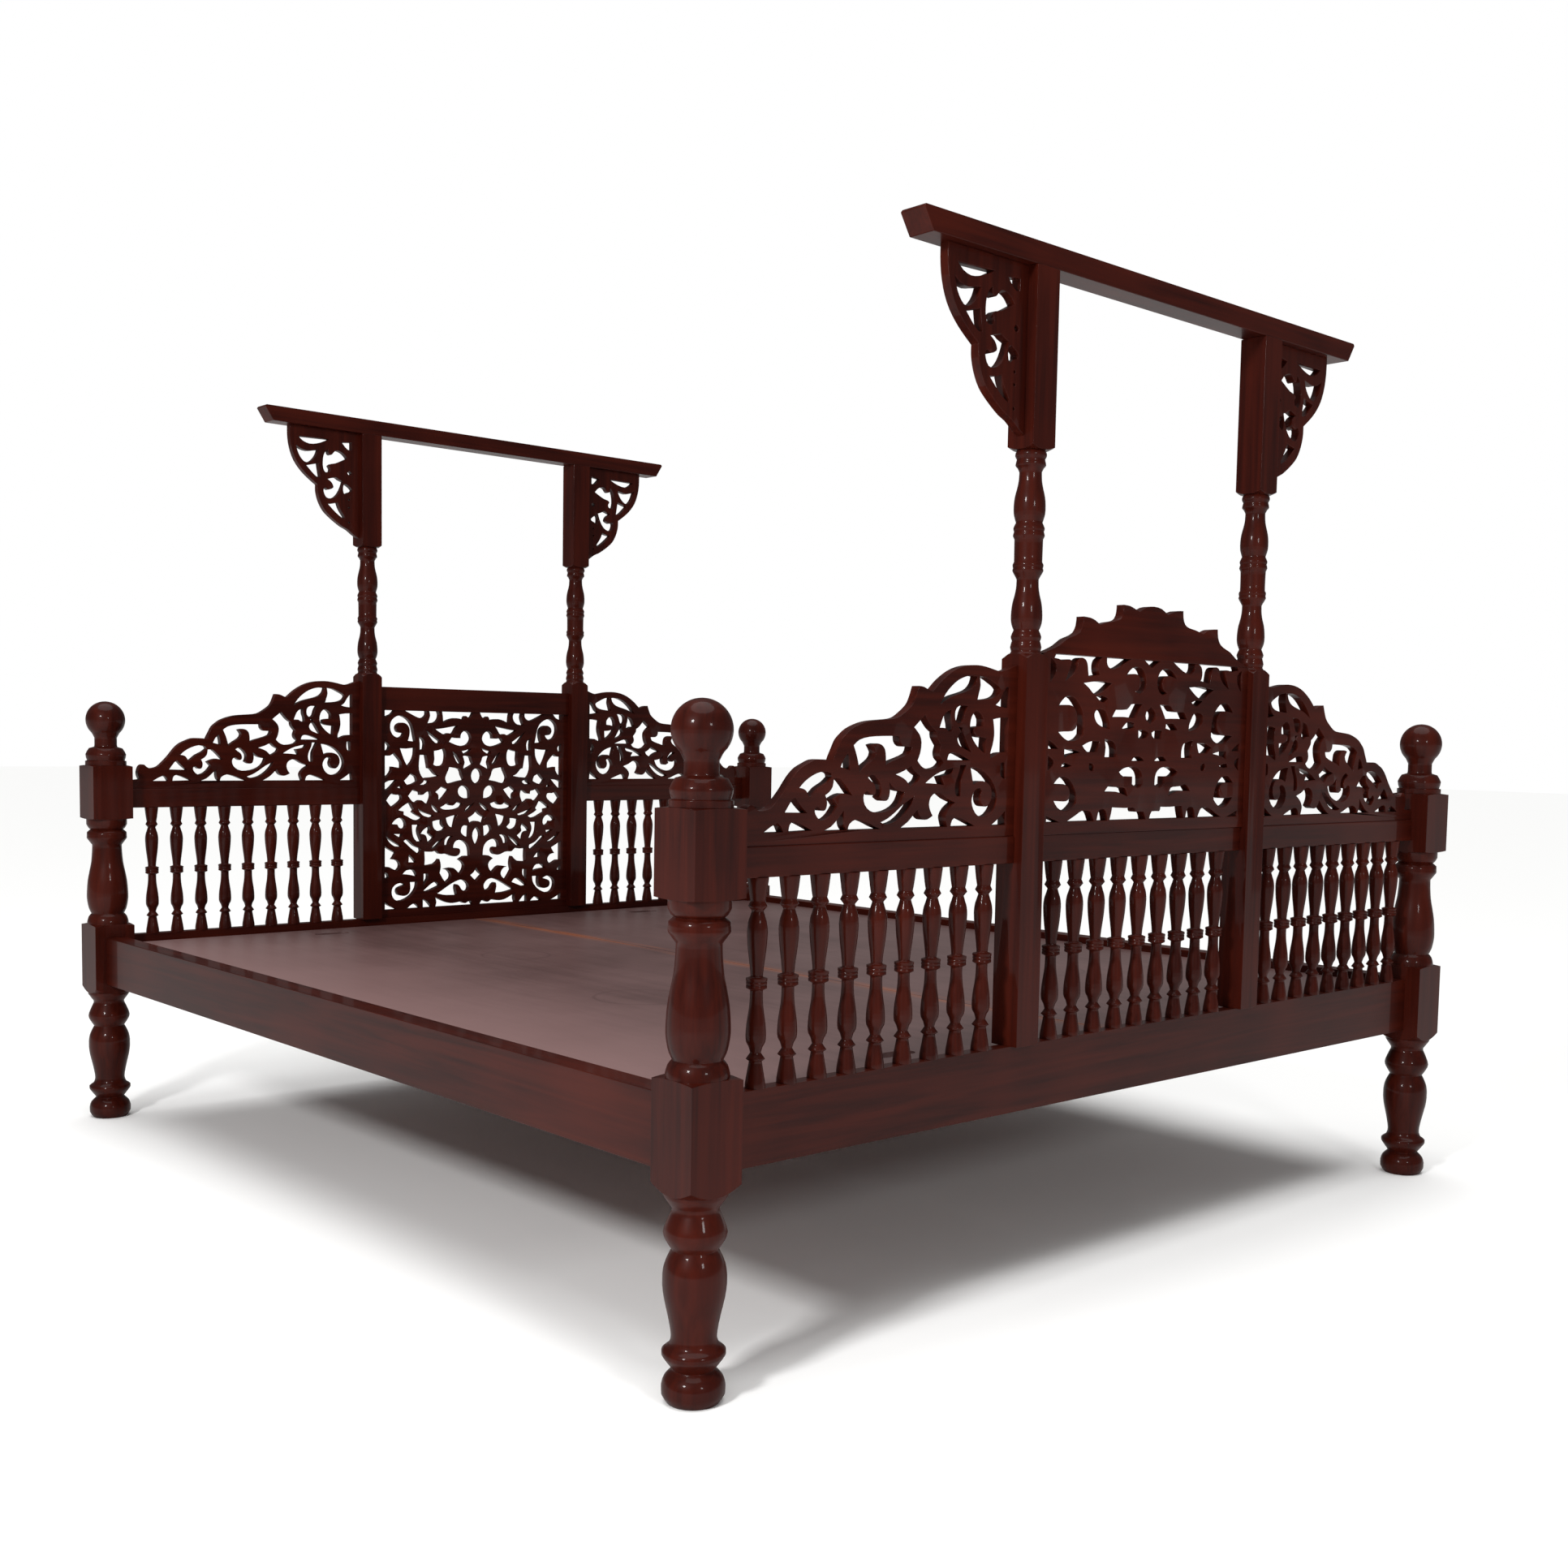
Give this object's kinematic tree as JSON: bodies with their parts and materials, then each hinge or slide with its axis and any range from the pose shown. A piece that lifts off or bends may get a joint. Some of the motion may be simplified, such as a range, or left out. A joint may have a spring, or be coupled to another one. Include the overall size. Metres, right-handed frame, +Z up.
{
  "type": "four poster bed",
  "caption": "Turned and fret-sawn four poster bed with ball finials, spindle end boards and a lift-out plywood deck.",
  "frame": {"origin": "on the floor under the middle of the bed", "axes": "+Z up, +X across the bed, +Y along the bed towards the head board"},
  "size_m": [1.882, 2.1006, 1.556],
  "materials": {
    "stained_hardwood": "gloss lacquer",
    "fretwork": "gloss lacquer",
    "plywood": "matt stain",
    "plain_timber": "matt",
    "zinc_steel": "plated"
  },
  "bodies": {
    "bedstead": {"post_foot_left": "stained_hardwood", "post_foot_right": "stained_hardwood", "post_head_left": "stained_hardwood", "post_head_right": "stained_hardwood", "finial_foot_left": "stained_hardwood", "finial_foot_right": "stained_hardwood", "finial_head_left": "stained_hardwood", "finial_head_right": "stained_hardwood", "inner_post_foot_left": "stained_hardwood", "inner_post_foot_right": "stained_hardwood", "inner_post_head_left": "stained_hardwood", "inner_post_head_right": "stained_hardwood", "side_rail_left": "stained_hardwood", "side_rail_right": "stained_hardwood", "bottom_rail_foot": "stained_hardwood", "bottom_rail_head": "stained_hardwood", "mid_rail_foot_left": "stained_hardwood", "mid_rail_foot_centre": "stained_hardwood", "mid_rail_foot_right": "stained_hardwood", "mid_rail_head_left": "stained_hardwood", "mid_rail_head_right": "stained_hardwood", "top_rail_head": "stained_hardwood", "canopy_beam_foot": "stained_hardwood", "canopy_beam_head": "stained_hardwood", "bracket_foot_left": "fretwork", "bracket_foot_right": "fretwork", "bracket_head_left": "fretwork", "bracket_head_right": "fretwork", "fret_foot_left": "fretwork", "fret_foot_right": "fretwork", "fret_head_left": "fretwork", "fret_head_right": "fretwork", "fret_foot_centre": "fretwork", "fret_head_centre": "fretwork", "crest_foot": "fretwork", "spindles_foot_left": "stained_hardwood", "spindles_foot_centre": "stained_hardwood", "spindles_foot_right": "stained_hardwood", "spindles_head_left": "stained_hardwood", "spindles_head_right": "stained_hardwood", "cleat_left": "plain_timber", "cleat_right": "plain_timber", "bearer_1": "plain_timber", "bearer_2": "plain_timber", "bearer_3": "plain_timber", "bearer_4": "plain_timber", "bearer_5": "plain_timber", "rail_hook_plates": "zinc_steel", "post_slot_plates": "zinc_steel"},
    "deck_left": {"deck_board_left": "plywood"},
    "deck_right": {"deck_board_right": "plywood"}
  },
  "joints": [
    {"name": "deck_left_lift", "type": "slide", "parent": "bedstead", "child": "deck_left", "axis": [0, 0, 1], "range_m": [0, 1.22]},
    {"name": "deck_right_lift", "type": "slide", "parent": "bedstead", "child": "deck_right", "axis": [0, 0, 1], "range_m": [0, 1.22]}
  ]
}
